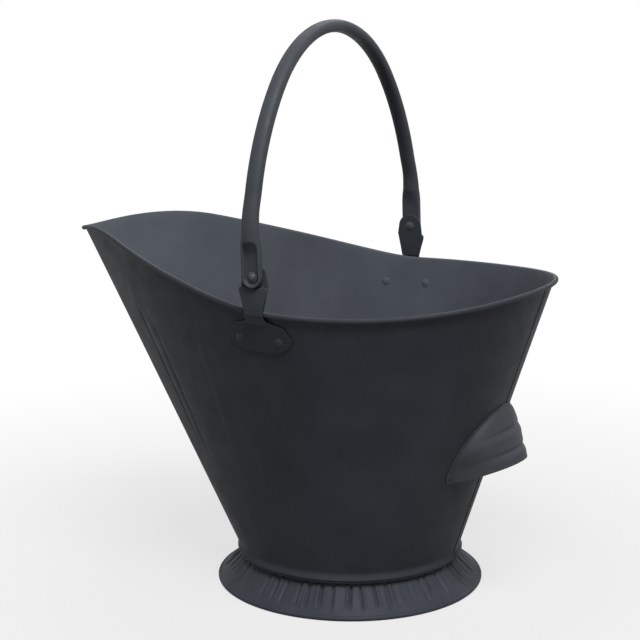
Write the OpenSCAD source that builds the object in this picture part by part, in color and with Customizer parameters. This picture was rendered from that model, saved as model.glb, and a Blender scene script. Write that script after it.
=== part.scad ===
// Pellet carrier: a sheet steel hod with a pouring spout, a bail and a flared foot.
// Millimetres. The origin is the centre of the foot on the floor, +Z is up and +X points out of the spout.

/* [Rim outline] */
// Radius of the round back of the rim
rim_back_r = 144.5; // [136:0.5:150]
// Distance from the foot's axis back to the centre of the round back
rim_back_shift = 26.5; // [20:0.5:34]
// Radius of each bowed flank between the back and the spout's nose
flank_r = 422; // [395:1:520]
// Distance from the foot's axis forward to the centre of the spout's nose
nose_reach = 216.5; // [200:0.5:230]
// Radius of the spout's nose
nose_r = 41; // [32:0.5:46]

/* [Rim height] */
// Height of the rim's wire where the ears hold it
rim_z = 252.4; // [235:0.2:275]
// Extra height of the rim at the middle of the back
back_rise = 11.8; // [6:0.2:18]
// Climb of the rim along the spout, before the lip droops
spout_climb = 62.6; // [45:0.2:75]
// Length of the soft turn where the climb starts
climb_turn = 32; // [20:1:45]
// Distance from the foot's axis at which the lip starts to droop
lip_start = 176; // [165:1:190]
// Droop of the lip at the end of the nose
lip_droop = 22.5; // [12:0.5:28]

/* [Sheet and wire] */
// Thickness of the body and foot sheet
sheet = 0.8; // [0.6:0.1:1.2]
// Radius of the wire inside the rim's curl
rim_wire_r = 1.05; // [0.9:0.05:1.4]
// Radius of the wire inside the foot's curl
foot_wire_r = 1.2; // [1:0.05:1.5]
// Clearance between a wire and the curl round it
wire_gap = 0.1; // [0.05:0.05:0.2]
// Width of the lap seam down the middle of the back
lap_w = 12; // [8:0.5:18]

/* [Foot and bottom] */
// Radius of the foot where it stands
foot_r = 113; // [106:0.5:120]
// Radius of the body's inner face at its lower edge
base_r = 92.2; // [88:0.2:96]
// Height at which the body starts to flare, above its short upright collar
base_z = 29; // [26:0.2:34]
// Height of the upright collar that the hem holds
collar_h = 2.6; // [2:0.1:3]
// Radius of the rolled hem, to its outer face
hem_r = 2.5; // [2.4:0.05:2.8]
// Height of the upper face of the bottom disc above the start of the flare
pan_lift = 1.6; // [1.2:0.2:5]
// Number of crimps round the foot
crimp_count = 56; // [48:1:60]
// Depth of the crimps, from ridge to valley
crimp_depth = 1.8; // [1:0.1:2.4]

/* [Ears] */
// Distance of the ears and the pivots forward of the foot's axis
ear_x = 10; // [6:0.5:16]
// Thickness of the ear's sheet
ear_t = 1.6; // [1.2:0.1:2]
// Height of the pivot above the rim's wire
pivot_lift = 29.4; // [26:0.2:33]
// Radius of the ear's upper plate
ear_top_r = 10.8; // [9.6:0.1:12]
// Half width of the ear across its two corners
ear_corner_w = 12.3; // [11.4:0.1:13.5]
// Half width of the ear's neck
ear_neck_w = 7.7; // [7:0.1:9]
// Half width of the lobed plate on the wall
ear_lobe_w = 29.5; // [27:0.5:33]
// Height of the lobed plate below the rim's wire
ear_drop = 31; // [29:0.5:35]
// Half distance between the two ear rivets
ear_rivet_dx = 18.5; // [17:0.5:20]
// Distance of the ear rivets below the rim's wire
ear_rivet_drop = 20.5; // [18.5:0.5:22]

/* [Bail] */
// Distance that the arch bows out past the middle of its flattened ends
bail_bow = 1.5; // [0.5:0.1:6]
// Height of the middle of the tube at the crown above the pivot
bail_h = 183; // [165:0.1:200]
// Difference between the bail's half width and the radius of its crown
crown_narrow = 18; // [12:0.5:28]
// Thickness of the oval tube across the arch
tube_t = 10.5; // [9:0.5:11.5]
// Width of the oval tube along the spout's direction
tube_w = 12.3; // [11:0.1:13]
// Wall of the tube
tube_wall = 1.1; // [0.8:0.1:1.6]
// Lean of the bail towards the spout
bail_lean = 1.9; // [0:0.1:4]
// Half width of the flattened end, which is also its end radius
end_r = 8.15; // [7.6:0.05:8.4]
// Height of the flattened end's top above the pivot
end_h = 26; // [22:0.5:30]
// Thickness of the web at the bottom of the channel in the flattened end
web_t = 2; // [1.6:0.1:2.4]
// Depth of the channel in the flattened end
channel_depth = 3.5; // [2.8:0.1:4.2]
// Width of each raised edge beside the channel
edge_w = 1.7; // [1.3:0.1:2]

/* [Fasteners] */
// Radius of the pivot rivet's shank
pivot_r = 2.5; // [2:0.05:3]
// Running clearance round the pivot rivet
pivot_gap = 0.08; // [0.04:0.01:0.1]
// Radius of the ear rivets' shanks
rivet_r = 1.9; // [1.6:0.05:2.2]
// Radius of the ear rivets' heads
rivet_head_r = 3.6; // [3.2:0.1:4]
// Height of the ear rivets' heads
rivet_head_h = 1.5; // [1.2:0.1:2]
// Height of the flatter heads that the ear rivets show inside the body
rivet_tail_h = 0.8; // [0.6:0.1:1.4]
// Radius of the grip rivets' shanks
grip_rivet_r = 1.3; // [1.1:0.05:1.5]
// Radius of the grip rivets' heads
grip_head_r = 2.5; // [2.2:0.1:2.8]
// Height of the grip rivets' heads
grip_head_h = 0.9; // [0.7:0.1:1.2]
// Height of the flatter heads that the grip rivets show inside the body
grip_tail_h = 0.6; // [0.4:0.1:1]
// Clearance round a fixed rivet's shank and under its heads
rivet_gap = 0.05; // [0.03:0.01:0.1]
// Clearance under the ear rivets' heads, where the ear's face is not quite square to them
rivet_seat_gap = 0.16; // [0.14:0.01:0.25]

/* [Rear grip] */
// Height of the top of the grip
grip_top = 164.8; // [158:0.2:172]
// Height of the grip's lower corners
grip_bottom = 107; // [101:0.5:112]
// Half width of the grip's flange on the wall
grip_half_w = 49.5; // [46:0.5:54]
// Width of the flange beside the hood
grip_flange = 7; // [6:0.2:8]
// Distance that the hood's free edge stands off the wall
grip_reach = 33.5; // [28:0.5:38]
// Rise of the free edge from the corners to the middle
grip_edge_rise = 14; // [12:0.5:22]
// Thickness of the grip's sheet
grip_t = 1; // [0.8:0.1:1.4]
// Depth of the two folds across the hood
grip_fold = 1.4; // [0.6:0.1:2]

/* [Hidden] */

paint = [0.17, 0.175, 0.19];
paint_inside = [0.24, 0.25, 0.27];
bare_wire = [0.45, 0.46, 0.47];
paint_rivet = [0.2, 0.205, 0.22];

// Small distance that separates faces which only touch
touch = 0.1;
// Small overlap that joins two solids of one piece
weld = 0.3;
// How far a cut runs on past what it cuts
beyond = 5;

// Rim outline: a nose arc, two flank arcs and a back arc, each tangent to the next.
// An outline point is given by the direction that the rim faces there, seen from above.
curl_r = rim_wire_r + wire_gap + sheet;
nose_c = [nose_reach, 0];
back_c = [-rim_back_shift, 0];
span = nose_reach + rim_back_shift;
to_nose = flank_r - nose_r;
to_back = flank_r - rim_back_r;
flank_u = (to_nose * to_nose - to_back * to_back + span * span) / (2 * span);
flank_v = sqrt(to_nose * to_nose - flank_u * flank_u);
flank_c = [nose_reach - flank_u, -flank_v];
nose_turn = atan2(flank_v, flank_u);
back_turn = atan2(flank_v, back_c[0] - flank_c[0]);
nose_x = nose_reach + nose_r;
back_x = -rim_back_shift - rim_back_r;

function facing(a) = [cos(a), sin(a)];
function side(a) = a < 0 ? -1 : 1;
function arc_c(a) = abs(a) < nose_turn ? nose_c
    : abs(a) < back_turn ? [flank_c[0], flank_c[1] * side(a)] : back_c;
function arc_r(a) = abs(a) < nose_turn ? nose_r
    : abs(a) < back_turn ? flank_r : rim_back_r;
function rim_xy(a) = arc_c(a) + arc_r(a) * facing(a);

// Height of the rim's wire at a distance x forward of the foot's axis
function lip(x) = max(0, (x - lip_start) / (nose_x - lip_start));
function climb(x) = spout_climb * (sqrt(x * x + climb_turn * climb_turn) - climb_turn) / nose_x;
function rim_h(x) = x < 0 ? rim_z + back_rise * pow(x / back_x, 3)
    : rim_z + climb(x) - lip_droop * lip(x) * lip(x);

// The wall runs straight from the base circle to the rim, between points that face the same way
function foot_pt(a) = base_r * facing(a);
function run_out(a) = (rim_xy(a) - foot_pt(a)) * facing(a) - curl_r;
function flare(a) = atan2(run_out(a), rim_h(rim_xy(a)[0]) - base_z);
function top_xy(a) = rim_xy(a) - curl_r * cos(flare(a)) * facing(a);
function top_z(a) = rim_h(rim_xy(a)[0]) + curl_r * sin(flare(a));
// A point of the wall at the share t of its height, off outside its inner face
function wall_pt(a, t, off) = let (
        p = foot_pt(a) * (1 - t) + top_xy(a) * t + off / cos(flare(a)) * facing(a)
    ) [p[0], p[1], base_z + t * (top_z(a) - base_z)];
function wall_t(a, z) = (z - base_z) / (top_z(a) - base_z);
// The direction in which the wall faces where it has the given x, or the given y, at height z.
// It is found in a few turns from a guess at the middle of the side, or near the middle of the back.
side_guess = 80;
back_guess = 175;
solve_turns = 5;
function mid_c(a, t) = arc_c(a) * t;
function mid_r(a, t) = base_r * (1 - t) + (arc_r(a) - curl_r * cos(flare(a))) * t;
function side_angle(x, z, guess, turns) = turns == 0 ? guess
    : let (t = wall_t(guess, z))
      side_angle(x, z, acos((x - mid_c(guess, t)[0]) / mid_r(guess, t)), turns - 1);
function side_at(x, z) = side_angle(x, z, side_guess, solve_turns);
function back_angle(y, z, guess, turns) = turns == 0 ? guess
    : let (t = wall_t(guess, z))
      back_angle(y, z, 180 - asin(y / mid_r(guess, t)), turns - 1);
function back_at(y, z) = back_angle(y, z, back_guess, solve_turns);

function joined(l) = [for (a = l) each a];
function reversed(l) = [for (i = [len(l) - 1:-1:0]) l[i]];

// A closed ring swept through a list of closed sections, all with the same number of points
module ring_solid(sections) {
    n = len(sections);
    m = len(sections[0]);
    polyhedron(joined(sections), [
        for (i = [0:n - 1], j = [0:m - 1])
            let (k = (i + 1) % n, l = (j + 1) % m)
            each [[i * m + j, i * m + l, k * m + l], [i * m + j, k * m + l, k * m + j]]
    ], 4);
}

// A sheet between two grids of points, the first its outer face and the second its inner face
module sheet_solid(outer, inner) {
    n = len(outer);
    m = len(outer[0]);
    o = n * m;
    polyhedron(concat(joined(outer), joined(inner)), [
        for (i = [0:n - 2], j = [0:m - 2]) let (a = i * m + j) each [
            [a, a + m + 1, a + 1], [a, a + m, a + m + 1],
            [o + a, o + a + 1, o + a + m + 1], [o + a, o + a + m + 1, o + a + m]
        ],
        for (j = [0:m - 2]) let (b = (n - 1) * m + j) each [
            [j, o + j + 1, o + j], [j, j + 1, o + j + 1],
            [b, o + b + 1, b + 1], [b, o + b, o + b + 1]
        ],
        for (i = [0:n - 2]) let (a = i * m, b = i * m + m - 1) each [
            [a, o + a + m, a + m], [a, o + a, o + a + m],
            [b, o + b + m, o + b], [b, b + m, o + b + m]
        ]
    ], 4);
}

// Puts its children on the wall's inner face, where it faces a at height z, with their +Z pointing straight out
module on_wall(a, z) {
    translate(wall_pt(a, wall_t(a, z), 0)) rotate([0, 90 + flare(a), a]) children();
}

module mirrored(s) {
    if (s > 0) children();
    else mirror([0, 1, 0]) children();
}

// A low dome that stands on z = 0
module dome(r, h) {
    ball_r = (r * r + h * h) / (2 * h);
    intersection() {
        translate([0, 0, h - ball_r]) sphere(ball_r, $fn = 48);
        cylinder(h = h + 1, r = r, $fn = 48);
    }
}

// A set rivet on the Z axis, with its heads on z = low and z = high
module rivet(shank_r, head_r, head_h, tail_h, low, high) {
    translate([0, 0, high]) dome(head_r, head_h);
    translate([0, 0, low - weld]) cylinder(h = high - low + 2 * weld, r = shank_r, $fn = 48);
    translate([0, 0, low]) mirror([0, 0, 1]) dome(head_r, tail_h);
}

// Directions at which the body and the rim's wire are cut into facets
nose_steps = 7;
flank_steps = 12;
back_steps = 17;
lap_half = lap_w / 2 / rim_back_r * 180 / PI;
lap_edge = 0.05;
nose_step = nose_turn / nose_steps;
flank_step = (back_turn - nose_turn) / flank_steps;
back_step = (180 - lap_half - back_turn) / back_steps;
half_turns = [
    for (i = [0:nose_steps - 1]) nose_step * i,
    for (i = [0:flank_steps - 1]) nose_turn + flank_step * i,
    for (i = [0:back_steps - 1]) back_turn + back_step * i,
    180 - lap_half, 180 - lap_half + lap_edge
];
// How far a facet of the given turn lies inside the arc of radius r that it stands for
function facet_in(turn, r) = r * (1 - cos(turn / 2));
side_facet_in = facet_in(flank_step, flank_r);
back_facet_in = facet_in(back_step, rim_back_r);
base_facet_in = facet_in(max(nose_step, flank_step, back_step), base_r);
all_turns = concat([for (a = half_turns) if (a > 0) -a], [180], reversed(half_turns));

// The body's section where it faces a, as a closed loop: up the inner face, round the curl, down the outer face
curl_sweep = 290;
curl_steps = 8;
wall_rows = [0, 1 / 3, 2 / 3];
function curl_pt(a, r, s) = let (c = rim_xy(a), h = rim_h(c[0]), b = flare(a) + s,
        p = c - r * cos(b) * facing(a)) [p[0], p[1], h + r * sin(b)];
function outer_off(a) = abs(a) > 180 - lap_half ? 2 * sheet : sheet;
function collar_pt(a, off) = [
    (base_r + off) * cos(a), (base_r + off) * sin(a), base_z - collar_h
];
function wall_section(a) = concat(
    [collar_pt(a, 0)],
    [for (t = wall_rows) wall_pt(a, t, 0)],
    [for (i = [0:curl_steps]) curl_pt(a, curl_r, curl_sweep * i / curl_steps)],
    [for (i = [curl_steps:-1:0]) curl_pt(a, curl_r - sheet, curl_sweep * i / curl_steps)],
    [wall_pt(a, 1 - curl_r / (top_z(a) - base_z), outer_off(a))],
    [for (t = reversed(wall_rows)) wall_pt(a, t, outer_off(a))],
    [collar_pt(a, outer_off(a))]
);

ear_rivet_z = rim_z - ear_rivet_drop;
grip_rivet_y = grip_half_w - grip_flange / 2;
grip_rivet_z = grip_bottom + grip_flange;

// Hole for a rivet's shank, square through any sheet that crosses z = 0
drill_depth = 4;
module rivet_hole(r) {
    translate([0, 0, -drill_depth]) cylinder(h = 2 * drill_depth, r = r + rivet_gap, $fn = 48);
}

module at_ear_rivet(s, d) {
    on_wall(s * side_at(ear_x + d * ear_rivet_dx, ear_rivet_z), ear_rivet_z) children();
}

module at_grip_rivet(s) {
    on_wall(s * back_at(grip_rivet_y, grip_rivet_z), grip_rivet_z) children();
}

module body_shell() {
    color(paint) difference() {
        ring_solid([for (a = all_turns) wall_section(a)]);
        for (s = [1, -1], d = [1, -1]) at_ear_rivet(s, d) rivet_hole(rivet_r);
        for (s = [1, -1]) at_grip_rivet(s) rivet_hole(grip_rivet_r);
    }
}

wire_sides = 6;
module rim_wire() {
    color(bare_wire) ring_solid([
        for (a = all_turns) [for (j = [0:wire_sides - 1]) curl_pt(a, rim_wire_r, 360 * j / wire_sides)]
    ]);
}

// Outline of a strip of the thickness t along a line of points: its right side, then its left side back
function leaving(l, i) = let (n = len(l), d = l[min(i + 1, n - 1)] - l[min(i, n - 2)]) d / norm(d);
function arriving(l, i) = leaving(l, max(0, i - 1));
function mitre(l, i) = let (m = leaving(l, i) + arriving(l, i), u = m / norm(m))
    [-u[1], u[0]] / (u * leaving(l, i));
function strip(l, t) = concat(
    [for (i = [0:len(l) - 1]) l[i] - mitre(l, i) * t / 2],
    [for (i = [len(l) - 1:-1:0]) l[i] + mitre(l, i) * t / 2]
);

// Bottom disc with a flange that turns down inside the body's collar and rolls outward round it
pan_z = base_z + pan_lift;
hem_mid = hem_r - sheet / 2;
flange_r = base_r - base_facet_in - touch - sheet / 2;
hem_above = 0.2;
hem_c = [flange_r + hem_mid, base_z - collar_h + hem_above];
hem_end = 430;
pan_bend = 1.2;
pan_line = concat(
    [[0, pan_z - sheet / 2]],
    [for (a = [90:-30:0]) [flange_r - pan_bend, pan_z - sheet / 2 - pan_bend] + pan_bend * facing(a)],
    [for (a = [180:25:hem_end]) hem_c + hem_mid * facing(a)]
);
module bottom_pan() {
    color(paint_inside) rotate_extrude($fn = 144) polygon(
        [for (p = strip(pan_line, sheet)) [max(0, p[0]), p[1]]]
    );
}

// Crimped foot: a collar inside the hem, a flare and a curl round the foot's wire,
// rubbed flat where it stands.
// Its section is cut at three directions to a crimp: one on the ridge and two in the valley.
curl_step = 60;
curl_in = (foot_wire_r + wire_gap) / cos(curl_step / 2);
curl_out = (foot_wire_r + wire_gap + sheet) / cos(curl_step / 2);
rubbed = 0.1;
curl_c = [foot_r - curl_out, foot_wire_r + wire_gap + sheet - rubbed];
collar_r = flange_r - sheet - touch;
neck_drop = 5.6;
neck_z = base_z - neck_drop;
curl_angles = [45, 0, -60, -120, -180, -240];
// Rows of the flare: share of the way down, share of the way out, share of the crimps' depth
flare_rows = [[0.16, 0.25, 0.55], [0.5, 0.58, 1], [0.82, 0.85, 0.75]];
crimp_steps = 3;
function crimp(k) = (k % crimp_steps == 0 ? 0.5 : -0.5) * (0.75 + 0.25 * cos(k * 97))
    + 0.12 * cos(k * 41);
function crimp_angle(k) = 360 * (k + 0.3 * sin(k * 63)) / (crimp_count * crimp_steps);
function skirt_line(k) = let (neck = [collar_r, neck_z], low = curl_c + (curl_in + curl_out) / 2 * facing(45))
    concat(
        [[collar_r, pan_z - 2 * sheet - touch], neck],
        [for (f = flare_rows) [
            neck[0] + (low[0] - neck[0]) * f[1] + crimp_depth * f[2] * crimp(k),
            neck[1] + (low[1] - neck[1]) * f[0]
        ]]
    );
function skirt_loop(k) = let (l = skirt_line(k), n = len(l), o = strip(l, sheet)) concat(
    [for (i = [0:n - 1]) o[i]],
    [for (a = curl_angles) curl_c + curl_in * facing(a)],
    [for (a = reversed(curl_angles)) curl_c + curl_out * facing(a)],
    [for (i = [n:2 * n - 1]) o[i]]
);

module foot_skirt() {
    color(paint) difference() {
        ring_solid([
            for (k = [0:crimp_count * crimp_steps - 1]) let (a = crimp_angle(k))
                [for (p = skirt_loop(k)) [p[0] * cos(a), p[0] * sin(a), p[1]]]
        ]);
        translate([0, 0, -beyond]) cylinder(h = beyond, r = foot_r + beyond, $fn = 144);
    }
}

module foot_wire() {
    color(bare_wire) rotate_extrude($fn = 144) translate(curl_c) circle(foot_wire_r, $fn = 32);
}

// Ears, drawn on the +Y side
pivot_z = rim_z + pivot_lift;
rim_side_y = flank_c[1] + sqrt(flank_r * flank_r - pow(ear_x - flank_c[0], 2)) + curl_r;
front_stand = 2.3;
back_stand = 0.8;
front_y = rim_side_y + front_stand;
back_plate_y = rim_side_y - back_stand;
end_play = 0.4;
web_y = back_plate_y + ear_t + end_play;
ledge_gap = 0.5;
ledge_r = end_r + ledge_gap;
corner_z = -7.2;
neck_low = 3 - pivot_lift;
// How far the upper plate and the ledge reach down past the corners, and how far their ends slant in
plate_foot = 3.5;
plate_slant = 2;
ledge_foot = 3.1;
ledge_slant = 3;
// Turn from upright at which the bail's ends still lie clear of the ledges
fold_turn = 84;

module facing_side(y, depth) {
    translate([ear_x, y + depth, pivot_z]) rotate([90, 0, 0]) linear_extrude(depth) children();
}

// Rows of the ear's front sheet, from its corners down over the rim and onto the wall:
// height from the rim's wire, share by which it follows the wall, distance off the wall, half width
ear_rows = [
    [pivot_lift + corner_z, 0, 0, ear_corner_w], [3.2, 0, 0, ear_neck_w], [-0.6, 0, 0, ear_neck_w],
    [-3, 0.35, 1.6, ear_neck_w + 0.3], [-5.4, 1, 1.6, ear_neck_w + 1.4],
    [-7.4, 1, 0.5, ear_lobe_w * 0.56], [-9.2, 1, touch, ear_lobe_w * 0.77],
    [-13, 1, touch, ear_lobe_w * 0.91], [-19.5, 1, touch, ear_lobe_w],
    [5 - ear_drop, 1, touch, ear_lobe_w * 0.92], [2 - ear_drop, 1, touch, ear_lobe_w * 0.74],
    [-ear_drop, 1, touch, ear_lobe_w * 0.46]
];
ear_columns = 5;
function ear_pt(row, j, off) = let (
        x = ear_x + row[3] * j / ear_columns, z = rim_z + row[0], a = side_at(x, z),
        flat = [x, front_y + off, z], on = wall_pt(a, wall_t(a, z), sheet + row[2] + off)
    ) flat * (1 - row[1]) + on * row[1];
function ear_grid(off) = [for (row = ear_rows) [for (j = [-ear_columns:ear_columns]) ear_pt(row, j, off)]];

// The side flanges and the ledge stay a little inside the edges of the front sheet and the upper plate
flange_in = 0.5;
ledge_in = 0.2;
wing_w = ear_corner_w - flange_in;
wing_lift = 3.2;
module ear() {
    difference() {
        union() {
            facing_side(back_plate_y, ear_t) {
                circle(ear_top_r, $fn = 64);
                polygon([
                    [-ear_top_r, 0], [ear_top_r, 0],
                    [wing_w, corner_z], [wing_w - plate_slant, corner_z - plate_foot],
                    [plate_slant - wing_w, corner_z - plate_foot], [-wing_w, corner_z]
                ]);
            }
            facing_side(back_plate_y + ear_t / 2, front_y - back_plate_y) polygon([
                [-ledge_r, corner_z - ledge_in], [ledge_r, corner_z - ledge_in],
                [ledge_r - ledge_slant, corner_z - ledge_foot], [ledge_slant - ledge_r, corner_z - ledge_foot]
            ]);
            for (s = [0, 1]) facing_side(back_plate_y + ear_t / 2, front_y - back_plate_y)
                mirror([s, 0]) polygon([
                    [wing_w, corner_z - flange_in], [ear_neck_w, neck_low + wing_lift],
                    [ear_neck_w - ear_t, neck_low + wing_lift], [wing_w - ear_t, corner_z - flange_in]
                ]);
            sheet_solid(ear_grid(ear_t), ear_grid(0));
        }
        facing_side(back_plate_y - beyond, beyond + ear_t + end_play) circle(pivot_r + rivet_gap, $fn = 48);
        facing_side(back_plate_y + ear_t + touch, front_y - back_plate_y + beyond) {
            circle(ledge_r, $fn = 64);
            for (s = [1, -1]) rotate(s * fold_turn) translate([-ledge_r, 0])
                square([2 * ledge_r, ear_corner_w + beyond]);
        }
        for (d = [1, -1]) at_ear_rivet(1, d) rivet_hole(rivet_r);
    }
}

module ear_left() { color(paint) ear(); }
module ear_right() { color(paint) mirrored(-1) ear(); }

ear_top = sheet + touch + ear_t;
module ear_rivet(s, d) {
    color(paint_rivet) mirrored(s) at_ear_rivet(1, d)
        rivet(
            rivet_r, rivet_head_r, rivet_head_h, rivet_tail_h,
            -side_facet_in - rivet_gap, ear_top + rivet_seat_gap
        );
}

module ear_rivet_left_front() { ear_rivet(1, 1); }
module ear_rivet_left_back() { ear_rivet(1, -1); }
module ear_rivet_right_front() { ear_rivet(-1, 1); }
module ear_rivet_right_back() { ear_rivet(-1, -1); }

// Pivot rivets: the shank is fixed in the ear and runs in the bail's end, with a washer under the head
washer_r = 4.3;
washer_t = 0.8;
pivot_head_r = 3.1;
pivot_head_h = 1.8;
pivot_tail_r = 4.2;
pivot_tail_h = 1;
washer_play = 0.15;
washer_y = web_y + web_t + washer_play;

module pivot_rivet() {
    color(paint_rivet) translate([ear_x, 0, pivot_z]) rotate([-90, 0, 0]) {
        translate([0, 0, back_plate_y - rivet_gap]) mirror([0, 0, 1]) dome(pivot_tail_r, pivot_tail_h);
        translate([0, 0, back_plate_y - rivet_gap - weld])
            cylinder(h = washer_y + washer_t - back_plate_y + rivet_gap + 2 * weld, r = pivot_r, $fn = 48);
        translate([0, 0, washer_y + washer_t + rivet_gap]) dome(pivot_head_r, pivot_head_h);
    }
}

module pivot_washer() {
    color(paint_rivet) translate([ear_x, washer_y + washer_t, pivot_z]) rotate([90, 0, 0])
        linear_extrude(washer_t) difference() {
            circle(washer_r, $fn = 48);
            circle(pivot_r + rivet_gap, $fn = 48);
        }
}

module pivot_rivet_left() { pivot_rivet(); }
module pivot_rivet_right() { mirrored(-1) pivot_rivet(); }
module pivot_washer_left() { pivot_washer(); }
module pivot_washer_right() { mirrored(-1) pivot_washer(); }

// Bail: a crown arc and two side arcs, each tangent to the next, and a flattened end on each side.
// It is drawn upright with the pivots on the Y axis at z = 0.
bail_half_w = web_y + (web_t + channel_depth) / 2 + bail_bow;
crown_r = bail_half_w - crown_narrow;
end_blend = 10;
side_start = end_h + end_blend;
spring_h = 6;
crown_h = bail_h - crown_r;
arch_rise = bail_h - spring_h;
// Radius of the side arcs, from the tangency of the two circles
side_b = arch_rise - crown_r;
side_r = (pow(bail_half_w, 2) + pow(side_b, 2) - pow(crown_r, 2)) / (2 * (bail_half_w - crown_r));
side_c = [bail_half_w - side_r, spring_h];
crown_turn = atan2(crown_h - spring_h, side_r - bail_half_w);
side_first = asin((side_start - spring_h) / side_r);
side_steps = 7;
crown_steps = 20;
arch_turns = concat(
    [for (i = [0:side_steps - 1]) side_first + (crown_turn - side_first) * i / side_steps],
    [for (i = [0:crown_steps]) crown_turn + (180 - 2 * crown_turn) * i / crown_steps],
    [for (i = [1:side_steps]) 180 - crown_turn + (crown_turn - side_first) * i / side_steps]
);
function arch_c(a) = a < crown_turn ? side_c
    : a <= 180 - crown_turn ? [0, crown_h] : [-side_c[0], side_c[1]];
function arch_r(a) = a < crown_turn || a > 180 - crown_turn ? side_r : crown_r;
tube_points = 16;
function held(v) = max(-1, min(1, v * sqrt(2)));
// A point of the oval section, t thick and w wide, and one of a rectangle with half sides hx and hr
function oval_pt(q, t, w) = [(w - t) / 2 * held(sin(q)) + t / 2 * sin(q), t / 2 * cos(q)];
function box_pt(q, hx, hr) = [hx * held(sin(q)), hr * held(cos(q))];
function arch_section(a, t, w) = [
    for (j = [0:tube_points - 1])
        let (p = oval_pt(360 * j / tube_points, t, w), y = arch_c(a) + (arch_r(a) + p[1]) * facing(a))
            [p[0], y[0], y[1]]
];
// The section where the tube grows out of the flattened end, at the height z, between the faces y0 and y1
function end_section(z, y0, y1, hx) = [
    for (j = [0:tube_points - 1])
        let (p = box_pt(360 * j / tube_points, hx, (y1 - y0) / 2)) [p[0], (y0 + y1) / 2 + p[1], z]
];
end_y0 = web_y;
end_y1 = web_y + web_t + channel_depth;
// The tube starts a little below the flattened end's top, a little inside its faces
root_z = end_h - 0.6;
inset = 0.15;
root_wall = 1.2;
function blend(p, q, m) = [for (i = [0:len(p) - 1]) p[i] * (1 - m) + q[i] * m];
function arch(out) = let (
        t = out ? tube_t : tube_t - 2 * tube_wall,
        w = out ? tube_w : tube_w - 2 * tube_wall,
        hx = out ? end_r - inset : end_r - edge_w - inset,
        y0 = out ? end_y0 + inset : end_y0 + web_t + inset,
        y1 = out ? end_y1 - inset : end_y1 - root_wall,
        first = end_section(root_z, y0, y1, hx),
        last = [for (p = first) [p[0], -p[1], p[2]]],
        ring = [for (a = arch_turns) arch_section(a, t, w)],
        n = len(ring)
    ) concat(
        [first, blend(first, ring[0], 0.3), blend(first, ring[0], 0.75)],
        ring,
        [blend(last, ring[n - 1], 0.75), blend(last, ring[n - 1], 0.3), last]
    );

// A pipe between two lists of closed sections, the first its outer face and the second its inner face
module pipe_solid(outer, inner) {
    n = len(outer);
    m = len(outer[0]);
    o = n * m;
    e = (n - 1) * m;
    polyhedron(concat(joined(outer), joined(inner)), [
        for (i = [0:n - 2], j = [0:m - 1]) let (l = (j + 1) % m, a = i * m, b = a + m) each [
            [a + j, a + l, b + l], [a + j, b + l, b + j],
            [o + a + j, o + b + l, o + a + l], [o + a + j, o + b + j, o + b + l]
        ],
        for (j = [0:m - 1]) let (l = (j + 1) % m) each [
            [j, o + j, o + l], [j, o + l, l],
            [e + j, e + l, o + e + l], [e + j, o + e + l, o + e + j]
        ]
    ], 4);
}

module flattened_end() {
    difference() {
        translate([0, end_y1, 0]) rotate([90, 0, 0]) linear_extrude(end_y1 - end_y0) {
            circle(end_r, $fn = 64);
            translate([-end_r, 0]) square([2 * end_r, end_h]);
        }
        translate([0, end_y1 + beyond, 0]) rotate([90, 0, 0]) linear_extrude(channel_depth + beyond) {
            circle(end_r - edge_w, $fn = 64);
            translate([edge_w - end_r, 0]) square([2 * (end_r - edge_w), end_h + beyond]);
        }
        translate([0, web_y + web_t + beyond, 0]) rotate([90, 0, 0])
            cylinder(h = web_t + 2 * beyond, r = pivot_r + pivot_gap, $fn = 48);
    }
}

module bail() {
    color(paint) translate([ear_x, 0, pivot_z]) rotate([0, bail_lean, 0]) {
        pipe_solid(arch(true), arch(false));
        for (s = [1, -1]) mirrored(s) flattened_end();
    }
}

// Rear grip: a hood of arches that springs from a flange on the wall, with two folds across it.
// The share g runs from 0 at the top to 1 at the free edge.
grip_rows = [0.01, 0.05, 0.11, 0.18, 0.26, 0.33, 0.38, 0.43, 0.52, 0.62, 0.69, 0.74, 0.79, 0.88, 0.95, 1];
grip_arch_steps = 7;
// The flange's sides run straight up to this height, and meet in half an oval above it
grip_straight = 10.5;
grip_oval_z = grip_bottom + grip_straight;
grip_oval_h = grip_top - grip_oval_z;
// Width of the flange above the hood
grip_crest = 0.8;
fold_at = [0.38, 0.74];
fold_width = 0.045;
corner_round = 3;
// Power of the share g by which the hood grows out from the wall
grip_swell = 0.9;
function grip_z(g) = grip_top - grip_crest - (grip_top - grip_crest - grip_bottom) * g;
function oval_y(half_w, h, z) = z < grip_oval_z ? half_w
    : half_w * sqrt(max(0, 1 - pow((z - grip_oval_z) / h, 2)));
function flange_y(g) = oval_y(grip_half_w, grip_oval_h, grip_z(g))
    - (g > 0.99 ? corner_round : g > 0.94 ? corner_round / 6 : 0);
function bend_y(g) = max(1, oval_y(grip_half_w - grip_flange, grip_oval_h - grip_crest, grip_z(g)));
function folded(g) = grip_fold * (exp(-pow((g - fold_at[0]) / fold_width, 2))
    + exp(-pow((g - fold_at[1]) / fold_width, 2)));
function back_pt(y, z, off) = let (a = back_at(y, z)) wall_pt(a, wall_t(a, z), sheet + off);
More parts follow.
